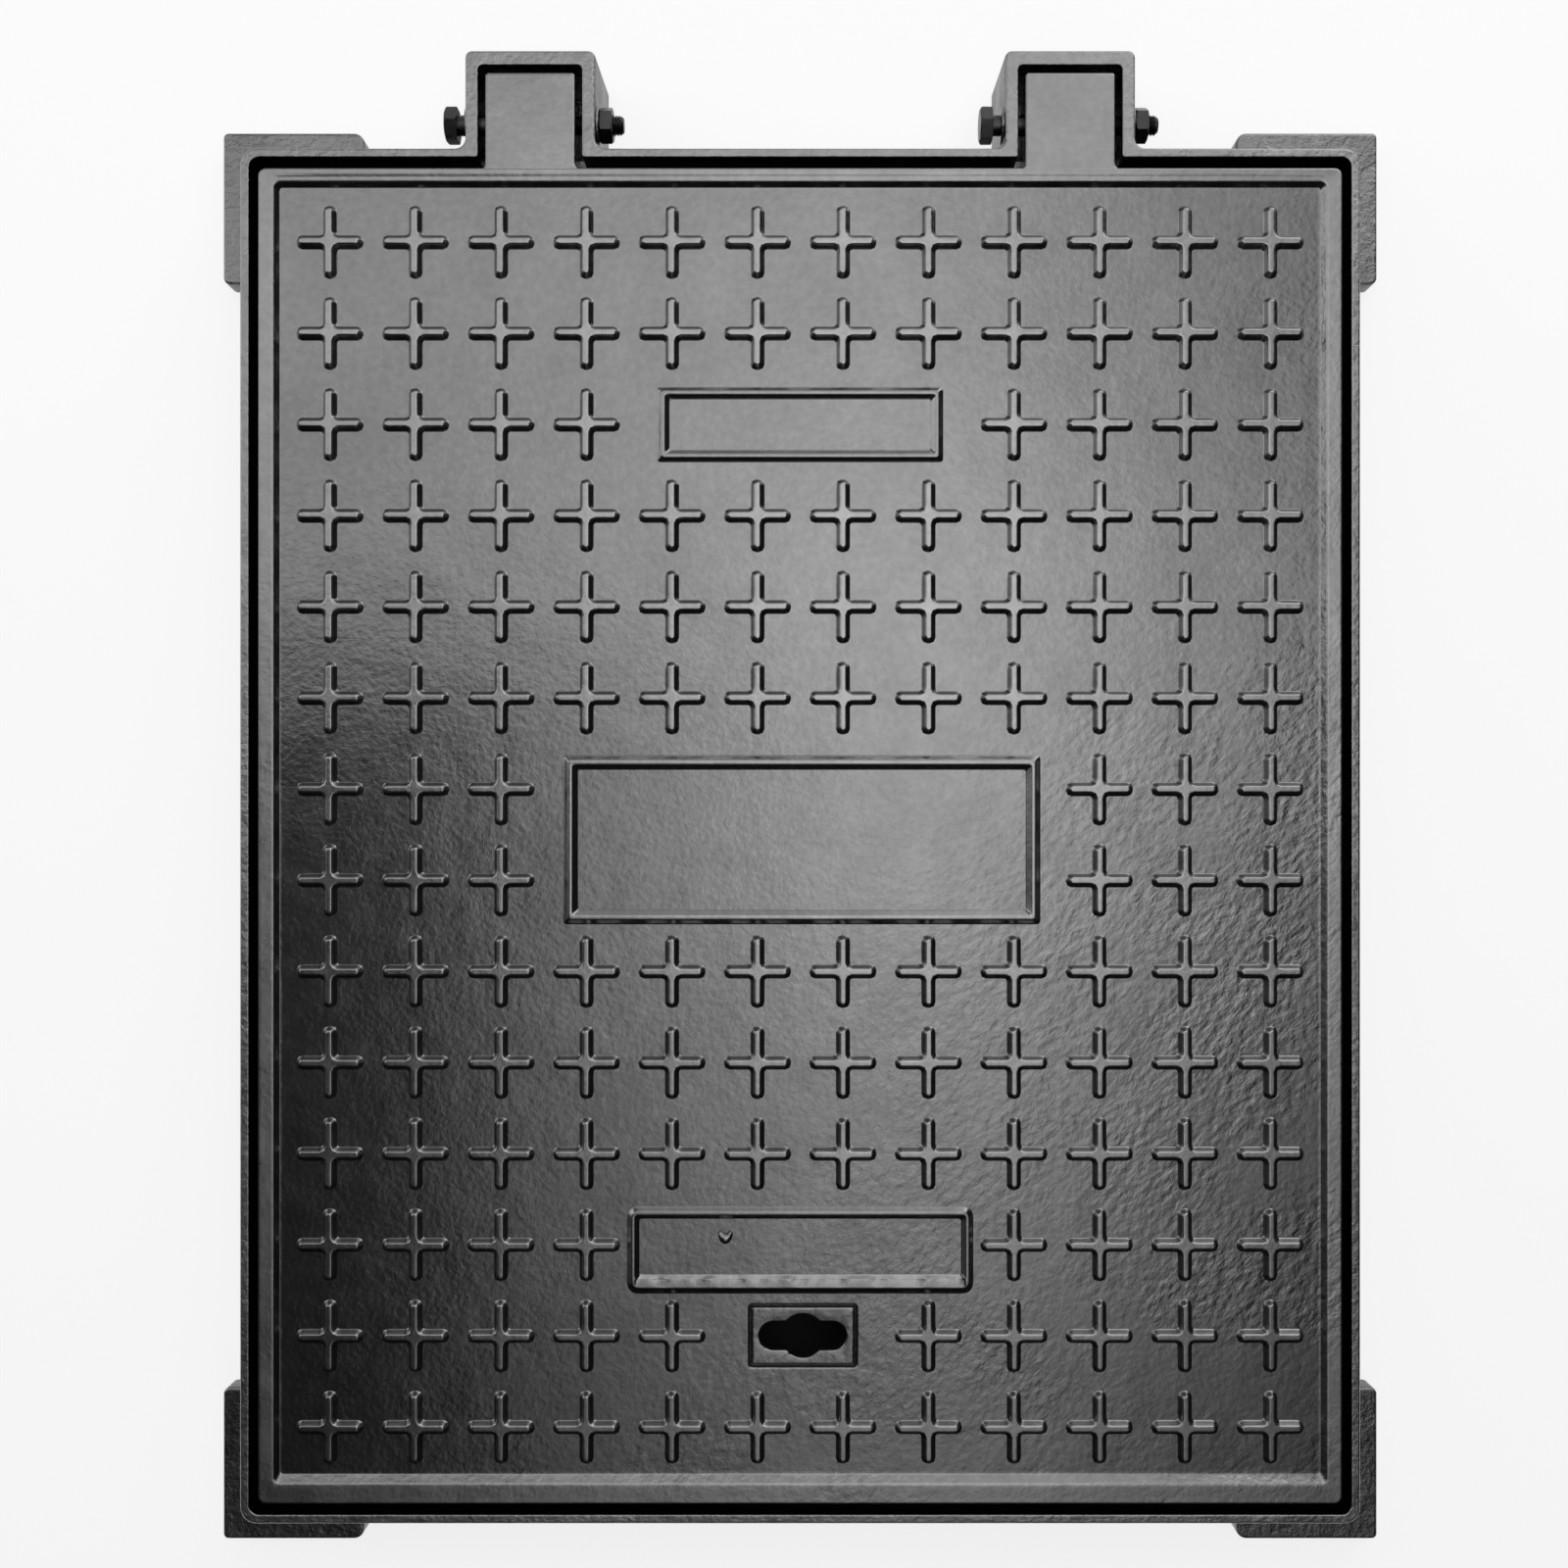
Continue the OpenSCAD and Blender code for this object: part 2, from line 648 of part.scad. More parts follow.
// Raised border of a label: size is its outer foot, lip widens the bar nearest the front edge
module label_border(place, foot_w, height, lip) {
    slope = foot_w * border_slope;
    inner = [place[1][0] - 2 * foot_w, place[1][1] - 2 * foot_w - lip];
    translate([place[0][0], place[0][1], field_z]) difference() {
        drafted_block(place[1], border_r, height, slope);
        translate([0, lip / 2, 0]) {
            drafted_block(inner, border_r / 2, height, -slope);
            translate([0, 0, height - eps]) linear_extrude(root)
                rounded_plan(inner + [2 * slope, 2 * slope], border_r / 2 + slope);
        }
    }
}

module cover() {
    color(iron_cover) placed() union() {
        difference() {
            union() {
                difference() {
                    cover_outside();
                    field_room();
                    underside_room();
                }
                ribs();
                key_pad();
                for (s = [-1, 1]) translate([s * hinge_span / 2, 0, 0]) lug();
            }
            key_outline_room();
            translate([key_right, key_y, seat_z]) linear_extrude(skirt_h) key_plan();
            for (s = [-1, 1]) translate([s * hinge_span / 2, 0, 0]) bolt_bore(lug_w + root);
        }
        for (c = tread_centres) translate([c[0], c[1], field_z]) tread();
        label_border(label_mid, border_mid_w, border_mid_h, 0);
        label_border(label_back, border_w, border_h, 0);
        label_border(label_front, border_w, border_h, border_lip);
    }
}

// Hexagon bolt along +x, with the head's inner face at x = 0
module bolt() {
    mirror([1, 0, 0]) hexagon(head_t, true, false);
    rotate([0, 90, 0]) {
        cylinder(h = bolt_len - bolt_end_bevel, d = bolt_d);
        translate([0, 0, bolt_len - bolt_end_bevel])
            cylinder(h = bolt_end_bevel, d1 = bolt_d, d2 = bolt_d - 2 * bolt_end_bevel);
    }
}

// Thin hexagon nut along +x, with one face at x = 0
module nut() {
    difference() {
        hexagon(nut_t, false, true);
        rotate([0, 90, 0]) translate([0, 0, -root]) cylinder(h = nut_t + 2 * root, d = bore_d);
    }
}

module hinge_bolt(side) {
    color(steel_bolt) placed() translate([side * hinge_span / 2 - head_x, axis_y, axis_z]) bolt();
}

module hinge_nut(side) {
    color(steel_bolt) placed() translate([side * hinge_span / 2 + boss_x, axis_y, axis_z]) nut();
}

module hinge_bolt_left() { hinge_bolt(-1); }
module hinge_bolt_right() { hinge_bolt(1); }
module hinge_nut_left() { hinge_nut(-1); }
module hinge_nut_right() { hinge_nut(1); }

frame();
cover();
hinge_bolt_left();
hinge_bolt_right();
hinge_nut_left();
hinge_nut_right();
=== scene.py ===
import math

import bmesh
import bpy
import numpy as np
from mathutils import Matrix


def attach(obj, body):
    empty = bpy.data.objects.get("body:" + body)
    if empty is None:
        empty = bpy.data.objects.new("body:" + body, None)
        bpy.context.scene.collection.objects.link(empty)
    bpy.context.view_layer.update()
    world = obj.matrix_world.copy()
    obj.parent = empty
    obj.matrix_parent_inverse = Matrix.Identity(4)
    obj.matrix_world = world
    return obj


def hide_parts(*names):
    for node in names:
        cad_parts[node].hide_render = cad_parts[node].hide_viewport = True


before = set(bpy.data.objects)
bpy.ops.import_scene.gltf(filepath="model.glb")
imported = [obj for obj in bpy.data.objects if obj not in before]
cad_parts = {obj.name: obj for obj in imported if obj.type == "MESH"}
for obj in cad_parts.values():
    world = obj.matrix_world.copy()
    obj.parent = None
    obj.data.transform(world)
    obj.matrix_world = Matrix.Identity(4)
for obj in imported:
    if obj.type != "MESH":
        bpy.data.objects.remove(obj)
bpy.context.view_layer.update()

# All shapes below are worked out in millimetres about the cover's middle, with z = 0 under the feet.
MM = 0.001
ORIGIN_Y = 17.55
TOP = 60.0
SEAT = 36.0
FIELD = 56.0
PLATE_UNDER = 49.0
LEDGE_UNDER = 28.0
LIP_UNDER, LIP_W = 16.0, 6.0

# Half sizes in plan
COVER = (323.0, 398.0)
WALL_IN = (328.5, 404.5)
WALL_OUT = (334.0, 410.0)
OPENING = (300.0, 375.0)
BASE = (357.0, 435.0)
FIELD_HALF = (311.2, 386.0)

FIELD_MID_Y = 1.5
WALL_FLARE, WALL_OUT_R, WALL_IN_R = 2.0, 10.0, 6.0
FOOT_H, FOOT_ARMS = 18.0, (87.0, 93.5)

# Treads
TREAD_COLS, TREAD_ROWS = 12, 14
STEP_X, STEP_Y = 562.0 / 11, 708.2 / 13
TREAD_LEN_X, TREAD_LEN_Y, TREAD_W, TREAD_H = 39.0, 42.5, 8.0, 4.0
TREAD_Y = 0.7

# Key slot, the engraved rectangle round it and the pad beneath, as half sizes
KEY_MID = (1.6, TREAD_Y - 5.5 * STEP_Y)
SLOT_END_R, SLOT_MID_R, SLOT_REACH = 8.5, 13.0, 17.5
GROOVE_IN, GROOVE_W = (30.0, 16.5), 2.8
PAD_HALF, PAD_UNDER = (36.0, 23.0), 44.0

# Ribs under the plate
RIBS_ALONG_X = (-100.0, 100.0)
RIBS_ACROSS_Y = (-187.5, 0.0, 187.5)
RIB_TOP, RIB_LOW = 50.0, 22.0

# Hinges
HINGE_X = 161.0
AXIS_Y, AXIS_Z = 429.0, 44.5
LUG_HALF, LUG_TIP = 26.85, 455.0
POCKET_HALF, POCKET_END = 31.05, 459.4
HOUSING_HALF, HOUSING_END = 38.75, 468.1
WELL_HALF, WELL_FLOOR = 32.5, 6.0
BOSS_AT, BOSS_R, CHEEK_R = 39.0, 11.0, 13.0

# Bolts and nuts
BOLT_R, BOLT_LEN, THREAD_FROM = 5.98, 100.0, 66.0
PITCH, THREAD_DEPTH = 1.75, 0.95
HEX_FLATS, HEX_R = 19.0, 10.97
BOLT_X, NUT_X = -45.267, 40.267


# ---------------------------------------------------------------- outlines and surfaces

def arc(centre, radius, start, end, count):
    """Points on a circle: the centre plus the radius times (cos a, sin a), a evenly from start to end in degrees."""
    a = np.radians(np.linspace(start, end, count))
    return np.array(centre) + radius * np.stack([np.cos(a), np.sin(a)], 1)


def rounded(corners, radii, counts):
    """Closed outline of a polygon with round corners. Each corner becomes an arc of count points that touches both of
    its edges: its centre lies on the corner's bisector at the radius over the sine of the half angle. A count of 1
    leaves the corner sharp."""
    corners = np.array(corners, float)
    pieces = []
    for i, (r, count) in enumerate(zip(radii, counts)):
        v = corners[i]
        if count == 1:
            pieces.append(v[None])
            continue
        a = corners[i - 1] - v
        b = corners[(i + 1) % len(corners)] - v
        a /= np.linalg.norm(a)
        b /= np.linalg.norm(b)
        half = math.acos(np.clip(a @ b, -1, 1)) / 2
        centre = v + (a + b) / np.linalg.norm(a + b) * r / math.sin(half)
        first, last = v + a * r / math.tan(half) - centre, v + b * r / math.tan(half) - centre
        start = math.degrees(math.atan2(first[1], first[0]))
        turn = math.degrees(math.atan2(last[1], last[0])) - start
        turn = (turn + 180) % 360 - 180
        pieces.append(arc(centre, r, start, start + turn, count))
    return np.concatenate(pieces)


def rectangle(half, r, middle=(0.0, 0.0), corner=8, side_x=12, side_y=8):
    """Rectangle with round corners, anticlockwise from its right side, with evenly spaced points between the corners.
    Every rectangle has the same count of points, so that any two can be joined."""
    (hx, hy), (mx, my) = half, middle
    flat_x, flat_y = hx - r, hy - r
    share_x = (np.arange(side_x) + 1) / (side_x + 1) * 2 - 1
    share_y = (np.arange(side_y) + 1) / (side_y + 1) * 2 - 1
    right = np.stack([np.full(side_y, hx), share_y * flat_y], 1)
    top = np.stack([-share_x * flat_x, np.full(side_x, hy)], 1)
    loop = np.concatenate([
        right, arc((flat_x, flat_y), r, 0, 90, corner), top, arc((-flat_x, flat_y), r, 90, 180, corner),
        -right, arc((-flat_x, -flat_y), r, 180, 270, corner), -top, arc((flat_x, -flat_y), r, 270, 360, corner)
    ])
    return loop + (mx, my)


def offset(loop, distance):
    """The anticlockwise loop with every edge moved outwards by the distance: each point goes along the sum of its two
    edge normals, over one plus their product."""
    edge = np.roll(loop, -1, 0) - loop
    normal = np.stack([edge[:, 1], -edge[:, 0]], 1) / np.linalg.norm(edge, axis=1)[:, None]
    before = np.roll(normal, 1, 0)
    share = 1 + np.sum(normal * before, 1)
    return loop + distance * (normal + before) / share[:, None]


def supported(loop, near):
    """The closed loop with two more points on every long edge, at the given distance from its ends. They keep the shade
    of the flat between them."""
    after = np.roll(loop, -1, 0)
    length = np.linalg.norm(after - loop, axis=1)[:, None]
    step = (after - loop) / length * near
    long = length[:, 0] > 4 * near
    points = np.stack([loop, loop + step, after - step], 1)
    return points[np.stack([np.ones_like(long), long, long], 1)]


def at_height(loop, z):
    return np.column_stack([loop, np.full(len(loop), z)])


def skin(loops, closed=False, fan=False):
    """Surface through equal loops: quads join point i of one loop to point i of the next. The last loop joins the
    first one if closed. Otherwise both end loops get a flat cap: one face, or a fan round the loop's middle, which
    suits an outline whose points all see that middle."""
    points = np.concatenate(loops)
    n, k = len(loops[0]), len(loops)
    i = np.arange(n)
    j = np.roll(i, -1)
    row = (np.arange(k if closed else k - 1) * n)[:, None]
    after = (row + n) % (n * k)
    quads = np.stack([row + i, row + j, after + j, after + i], -1).reshape(-1, 4)
    faces = [quads]
    if fan:
        last = (k - 1) * n
        points = np.concatenate([points, [loops[0].mean(0), loops[-1].mean(0)]])
        faces += [np.stack([j, i, np.full(n, k * n)], 1), np.stack([i + last, j + last, np.full(n, k * n + 1)], 1)]
    elif not closed:
        faces += [i[None, ::-1], i[None] + (k - 1) * n]
    return points, faces


def raised(outline, rows, fan=False):
    """Solid whose section at height z is the outline moved outwards by the row's first number."""
    return skin([at_height(offset(outline, out), z) for out, z in rows], fan=fan)


def top_edge(height, r, side=0.0, steps=4):
    """Rows of (outward move, height) over a rounded upper edge: a quarter circle of radius r, and a row on either side
    of it that keeps the shade of the flats."""
    a = np.radians(np.linspace(0, 90, steps))
    bend = np.stack([side - r * (1 - np.cos(a)), height - r * (1 - np.sin(a))], 1)
    return [(side, height - 1.4 * r), *map(tuple, bend), (side - 1.5 * r, height)]


def moved(part, along, to=(0.0, 0.0, 0.0)):
    """The part with its x, y and z axes turned to the three given axes, then moved."""
    points, faces = part
    return points @ np.array(along, float) + to, faces


ALONG_X = ((0, 1, 0), (0, 0, 1), (1, 0, 0))
ALONG_Y = ((-1, 0, 0), (0, 0, 1), (0, 1, 0))


def piece(name, parts, material, body, stands_for=(), sharp=None):
    """One mesh of all the parts, in metres in the row frame, with its faces turned outwards."""
    start, points, faces = 0, [], []
    for part_points, part_faces in parts:
        points.append(part_points)
        for block in part_faces:
            faces += (block + start).tolist()
        start += len(part_points)
    mesh = bpy.data.meshes.new(name)
    mesh.from_pydata((np.concatenate(points) - (0, ORIGIN_Y, 0)) * MM, [], faces)
    solid = bmesh.new()
    solid.from_mesh(mesh)
    bmesh.ops.recalc_face_normals(solid, faces=solid.faces)
    solid.to_mesh(mesh)
    solid.free()
    mesh.shade_smooth()
    if sharp:
        mesh.set_sharp_from_angle(angle=math.radians(sharp))
    mesh.materials.append(material)
    obj = bpy.data.objects.new(name, mesh)
    bpy.context.scene.collection.objects.link(obj)
    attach(obj, body)
    if stands_for:
        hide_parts(*stands_for)
    return obj


# ---------------------------------------------------------------- materials

# Heights in metres between which the coat turns from whole to worn
WORN_HEIGHTS = (0.0585, 0.0595)


def coat(name, tone, roughness, grain, leather=0.0, painted_upright_shade=1.0, worn=1.8):
    """Bituminous coat on sand-cast iron. Slow and fine noise make the tone and the gloss mottled. High places are
    lighter,
    and rougher by the factor worn. Upright faces are painted darker than faces turned up, by the share given for them:
    painted shade on the sides and painted sheen on the tops. The bump adds dents, orange peel, the sand's grain and,
    towards the front right, slanting leathery folds in patches."""
    material = bpy.data.materials.new(name)
    material.use_nodes = True
    nodes, links = material.node_tree.nodes, material.node_tree.links
    shader = nodes["Principled BSDF"]
    place = nodes.new("ShaderNodeTexCoord").outputs["Object"]

    def noise(scale, detail, stretch=None):
        tex = nodes.new("ShaderNodeTexNoise")
        tex.inputs["Scale"].default_value = scale
        tex.inputs["Detail"].default_value = detail
        source = place
        if stretch:
            turn = nodes.new("ShaderNodeMapping")
            turn.vector_type = "TEXTURE"
            turn.inputs["Rotation"].default_value = (0, 0, math.radians(stretch[0]))
            turn.inputs["Scale"].default_value = (stretch[1], 1, 1)
            links.new(place, turn.inputs["Vector"])
            source = turn.outputs["Vector"]
        links.new(source, tex.inputs["Vector"])
        return tex.outputs["Fac"]

    def ramp(source, low, high, start=0.3, end=0.7):
        change = nodes.new("ShaderNodeMapRange")
        for socket, value in (("From Min", start), ("From Max", end), ("To Min", low), ("To Max", high)):
            change.inputs[socket].default_value = value
        links.new(source, change.inputs["Value"])
        return change.outputs["Result"]

    def product(a, b):
        both = nodes.new("ShaderNodeMath")
        both.operation = "MULTIPLY"
        links.new(a, both.inputs[0])
        links.new(b, both.inputs[1])
        return both.outputs["Value"]

    height = nodes.new("ShaderNodeSeparateXYZ")
    links.new(place, height.inputs["Vector"])
    shade = product(ramp(noise(26, 5), 0.94, 1.06), ramp(noise(200, 4), 0.93, 1.07))
    shade = product(shade, ramp(height.outputs["Z"], 1.0, 1.3, *WORN_HEIGHTS))
    # Painted shade: the tone falls towards the share given for upright faces as the face turns away from up.
    facing = nodes.new("ShaderNodeSeparateXYZ")
    links.new(nodes.new("ShaderNodeTexCoord").outputs["Normal"], facing.inputs["Vector"])
    shade = product(shade, ramp(facing.outputs["Z"], painted_upright_shade, 1.0, 0.2, 0.7))
    mottle_and_shade = nodes.new("ShaderNodeMix")
    mottle_and_shade.data_type = "RGBA"
    mottle_and_shade.inputs["A"].default_value = (0, 0, 0, 1)
    mottle_and_shade.inputs["B"].default_value = (*[tone * 1.6] * 3, 1)
    links.new(ramp(shade, 0.0, 1.0, 0.0, 1.6), mottle_and_shade.inputs["Factor"])
    links.new(mottle_and_shade.outputs["Result"], shader.inputs["Base Color"])
    gloss = product(ramp(noise(60, 4), roughness * 0.85, roughness * 1.2),
                    ramp(height.outputs["Z"], 1.0, worn, *WORN_HEIGHTS))
    links.new(gloss, shader.inputs["Roughness"])
    corner = nodes.new("ShaderNodeVectorMath")
    corner.operation = "DOT_PRODUCT"
    corner.inputs[1].default_value = (1, -0.7, 0)
    links.new(place, corner.inputs[0])
    patches = product(ramp(noise(11, 3), 0.1, 1.0, 0.42, 0.6), ramp(corner.outputs["Value"], 0.08, 1.0, -0.05, 0.35))
    last = None
    for source, depth, strength in (
        (noise(32, 3), grain * 0.0007, None),
        (noise(300, 3), grain * 0.00022, None),
        (noise(1300, 2), grain * 0.00006, None),
        (noise(210, 4, stretch=(45, 1.5)), leather * 0.0005, patches),
    ):
        bump = nodes.new("ShaderNodeBump")
        bump.inputs["Strength"].default_value = 1
        bump.inputs["Distance"].default_value = depth
        links.new(source, bump.inputs["Height"])
        if strength:
            links.new(strength, bump.inputs["Strength"])
        if last:
            links.new(last, bump.inputs["Normal"])
        last = bump.outputs["Normal"]
    links.new(last, shader.inputs["Normal"])
    shader.inputs["Metallic"].default_value = 0.97
    return material


cover_coat = coat("cover_bitumen_coat", 0.24, 0.17, 0.7, leather=1.4)
raised_coat = coat("tread_bitumen_coat", 0.255, 0.18, 0.5, worn=1.2)
# The frame's and the bolts' upright faces get painted shade, their tops a lighter painted sheen.
frame_coat = coat("frame_bitumen_coat", 0.25, 0.28, 2.4, painted_upright_shade=0.12, worn=1.1)
bolt_coat = coat("bolt_black_steel", 0.07, 0.32, 0.5, painted_upright_shade=0.6, worn=1.0)


# ---------------------------------------------------------------- cover

def slot_loop(out):
    """Key slot moved outwards by the given distance: half circles at the ends and a wider circle in the middle. Its
    points are grouped as a rectangle's are: an end arc's middle stands for a side, and the rest of it for corners."""
    end_r, mid_r = SLOT_END_R + out, SLOT_MID_R + out
    meet = math.degrees(math.asin(end_r / mid_r))
    right = arc((SLOT_REACH, 0), end_r, -86, 86, 24)
    middle = arc((0, 0), mid_r, meet, 180 - meet, 12)
    side, corner = right[8:16], right[16:]
    lower = right[:8]
    return np.concatenate([side, corner, middle, -lower, -side, -corner, -middle, lower]) + KEY_MID


def plate_part():
    """The cover's plate, rim and skirt as one closed tube of loops: up through the key slot, through the engraved
    groove, out over the field, up the slope to the rim, which falls a little inwards, down the skirt and back along the
    underside, round the pad. The slope's front foot lies further in, by an amount that fades up the slope."""
    loops = [at_height(slot_loop(out), z) for out, z in (
        (0.5, 44.0), (0.1, 44.2), (0, 44.7), (0, 54.8), (0.1, 55.5), (0.5, 55.9), (1.0, 56.0))]
    for out, z in ((-0.8, 56.0), (-0.1, 55.98), (0.25, 55.8), (0.45, 55.5), (1.34, 53.1), (1.4, 53.0), (1.46, 53.1),
                   (2.35, 55.5), (2.55, 55.8), (2.9, 55.98), (3.6, 56.0), (4.6, 56.0), (6.6, 56.0)):
        loops.append(at_height(rectangle((GROOVE_IN[0] + out, GROOVE_IN[1] + out), 1.2 + out / 2, KEY_MID), z))
    for out, rise in ((-6.0, 0), (-2.0, 0), (-0.2, 0), (0.0, 0.04), (0.25, 0.3), (2.4, 2.9), (2.75, 3.3), (3.2, 3.48),
                      (3.8, 3.55), (4.6, 3.6), (6.0, 3.69)):
        give = 1.6 * (1 - min(max(out / 3.8, 0), 1))
        half = (FIELD_HALF[0] + out, FIELD_HALF[1] + out - give)
        loops.append(at_height(rectangle(half, 2.2 + 0.6 * max(out, 0), (0, FIELD_MID_Y + give)), FIELD + rise))
    for out, z in ((-4.4, 59.78), (-2.6, 59.9), (-1.4, 59.98), (-0.8, TOP), (-0.3, 59.8), (-0.05, 59.4), (-0.06, 58.6),
                   (-0.95, 37.6), (-1.0, 36.9), (-1.3, 36.25), (-2.0, SEAT), (-8.2, SEAT), (-8.8, 36.2), (-9.0, 37.0),
                   (-9.6, 45.5), (-10.2, 47.6), (-11.6, 48.7), (-13.5, PLATE_UNDER), (-16, PLATE_UNDER),
                   (-22, PLATE_UNDER)):
        loops.append(at_height(rectangle((COVER[0] + out, COVER[1] + out), max(4.5 + out, 1.5)), z))
    for out, z in ((7.0, PLATE_UNDER), (3.5, PLATE_UNDER), (2.0, PLATE_UNDER), (0.6, 48.9), (0.1, 48.4), (-0.2, 45.2),
                   (-0.7, 44.3), (-1.6, PAD_UNDER), (-2.6, PAD_UNDER)):
        loops.append(at_height(rectangle((PAD_HALF[0] + out, PAD_HALF[1] + out), 5 + out, KEY_MID), z))
    loops.append(at_height(slot_loop(1.2), PAD_UNDER))
    return skin(loops, closed=True)


# Middle and half size of each label, its border's width and height, and by how much its lower bar is wider
LABELS = (
    ((1.0, TREAD_Y - 3.0), (142.0, 50.0), 7.6, 3.4, 0.0),
    ((0.0, TREAD_Y + 4.5 * STEP_Y), (85.0, 22.0), 6.4, 2.6, 0.0),
    ((0.0, TREAD_Y - 4.5 * STEP_Y - 3.0), (103.0, 25.5), 6.4, 2.6, 4.0),
)
KEY_OUTLINE = (KEY_MID, (GROOVE_IN[0] + GROOVE_W, GROOVE_IN[1] + GROOVE_W))
TREAD_GAP = 3.0


def tread_middles():
    """Grid of tread middles without those whose tread would come within the gap of a label or the key's outline."""
    x = (np.arange(TREAD_COLS) - (TREAD_COLS - 1) / 2) * STEP_X
    y = TREAD_Y + (np.arange(TREAD_ROWS) - (TREAD_ROWS - 1) / 2) * STEP_Y
    grid = np.stack(np.meshgrid(x, y), -1).reshape(-1, 2)
    kept = np.ones(len(grid), bool)
    for middle, half in [label[:2] for label in LABELS] + [KEY_OUTLINE]:
        away = np.abs(grid - middle) - half - (TREAD_LEN_X / 2 + TREAD_GAP, TREAD_LEN_Y / 2 + TREAD_GAP)
        kept &= ~np.all(away < 0, 1)
    return grid[kept]


def tread_parts():
    """Every tread is one cross with round ends: its outline is carried from a flared foot up the steep sides and
    inwards over a round back."""
    a, b, w = TREAD_LEN_X / 2 + 0.3, TREAD_LEN_Y / 2 + 0.3, TREAD_W / 2
    half = np.array([(a, -w), (a, w), (w, w), (w, b), (-w, b), (-w, w)])
    outline = supported(rounded(np.concatenate([half, -half]), [w - 0.8, w - 0.8, 1.6] * 4, [3, 3, 3] * 4), 1.2)
    rows = ((0.6, -0.1), (0.05, 0.06), (-0.35, 0.42), (-0.6, 0.9), (-2.0, 3.45), (-2.25, 3.77), (-2.6, 3.95),
            (-2.95, TREAD_H), (-3.7, TREAD_H))
    points, faces = raised(outline, rows, fan=True)
    return [(points + (x, y, FIELD), faces) for x, y in tread_middles()]


def label_part(middle, half, width, height, lip):
    """Raised border between two rectangles. The outer bank's loops lie shares of the way from the outer line to the
    ridge, and the inner bank's from the inner line to the back of the crest. Where the lip widens the lower bar, the
    crest falls inwards and is beaded: its height varies by a sum of three sines along x."""
    def border(inwards, widened, r):
        return rectangle((half[0] - inwards, half[1] - inwards - widened / 2), r,
                         (middle[0], middle[1] + widened / 2), side_x=72)

    r = 6.0 if lip else 2.0
    slope = width * 0.42
    outer, ridge = border(0, 0, r), border(slope, lip * 0.3, r * 0.6)
    inner, back = border(width, lip, 1.5), border(width - slope, lip, 1.8)
    bank = np.array([(-0.3, -0.04), (-0.1, 0.03), (0.1, 0.14), (0.7, 0.88), (0.85, 0.97), (1.0, 1.0)])
    x, lower = outer[:, 0], (outer[:, 1] < middle[1] - half[1] + 1) * (lip > 0)
    bead = (np.sin(x * 0.13) + np.sin(x * 0.29 + 1) + np.sin(x * 0.53 + 2)) * 0.1 * lower
    fall = (1.3 + 3 * bead) * lower
    loops = [at_height(outer + (ridge - outer) * share, FIELD + (height + bead) * rise) for share, rise in bank]
    loops += [at_height(inner + (back - inner) * share, FIELD + (height - fall) * rise) for share, rise in bank[::-1]]
    return skin(loops, closed=True)


BLEMISH_AT = (-44.7, -235.0)


def blemish_part():
    """Small casting fault in the front label: a bead bent into a U, swept round an arc with a round section that
    swells to the middle. The arc is stretched along y and the section upwards."""
    bend = np.radians(np.linspace(195, 345, 13))
    around = np.radians(np.arange(8) * 45)
    thick = np.sin(np.linspace(0.6, math.pi - 0.6, 13)) * 2.2
    loops = []
    for a, r in zip(bend, thick):
        reach = 3.5 + r * np.cos(around)
        loops.append(np.column_stack([reach * np.cos(a), 1.6 * reach * np.sin(a), 1.7 * r * np.sin(around)]))
    points, faces = skin(loops)
    return points + (*BLEMISH_AT, FIELD), faces


def rib_part(span, opening, place, across=False):
    """Rib under the plate: a section with a round lower edge, carried along stations of changing depth. The ribs across
    end a little higher, so that no two faces lie in one plane where ribs meet."""
    lift = 0.2 if across else 0.0
    edge = opening - 4
    flat = edge * 0.4
    stations = np.array([(-span, 38), (-edge - 1, 38), (-edge + 1, 34.5), (-flat - 12, 22.9), (-flat + 6, RIB_LOW)])
    stations = np.concatenate([stations, (stations * (-1, 1))[::-1]])
    depth = (RIB_TOP - stations[:, 1]) / (RIB_TOP - RIB_LOW)
    half_low = 4.5 - 1.5 * depth
    side = np.array([(1.0, 1.0), (1.0, 0.1), (0.93, 0.035), (0.7, 0.0)])
    loop = np.concatenate([side, (side * (-1, 1))[::-1]])
    loops = []
    for (s, low), w in zip(stations, half_low):
        width = np.where(np.abs(loop[:, 1]) > 0.5, 4.5, w)
        z = RIB_TOP + (low + lift - RIB_TOP) * (1 - loop[:, 1])
        loops.append(np.column_stack([loop[:, 0] * width, z, np.full(len(loop), s)]))
    return moved(skin(loops), ALONG_X, (0, place, 0)) if across else moved(skin(loops), ALONG_Y, (place, 0, 0))


def lug_parts(x):
    """Hinge lug: a plate with rounded edges that grows out of the rim on fillets, over two cheeks round the bolt."""
    w, root = LUG_HALF, COVER[1] - 0.3
    corners = [(w + 4, root - 2.5), (w + 4, root), (w, root), (w, LUG_TIP), (-w, LUG_TIP), (-w, root), (-w - 4, root),
               (-w - 4, root - 2.5)]
    outline = rounded(corners, [0, 0, 3.5, 2, 2, 3.5, 0, 0], [1, 1, 6, 5, 5, 6, 1, 1])
    plate = raised(outline, [(-0.8, 49.0), (-0.2, 49.2), (0, 49.8), *top_edge(59.86, 1.3)])
    side = np.concatenate([[(391, 53), (391, 36)], arc((AXIS_Y, AXIS_Z), CHEEK_R, 220.8, 400.8, 20)])
    cheek = raised(side, [(-1.2, -5), (-0.8, -5), (-0.2, -4.8), (0, -4.2), (0, 4.2), (-0.2, 4.8), (-0.8, 5), (-1.2, 5)])
    cheeks = [moved(cheek, ALONG_X, (x + s * (w - 5.05), 0, 0)) for s in (-1, 1)]
    return [(plate[0] + (x, 0, 0), plate[1])] + cheeks


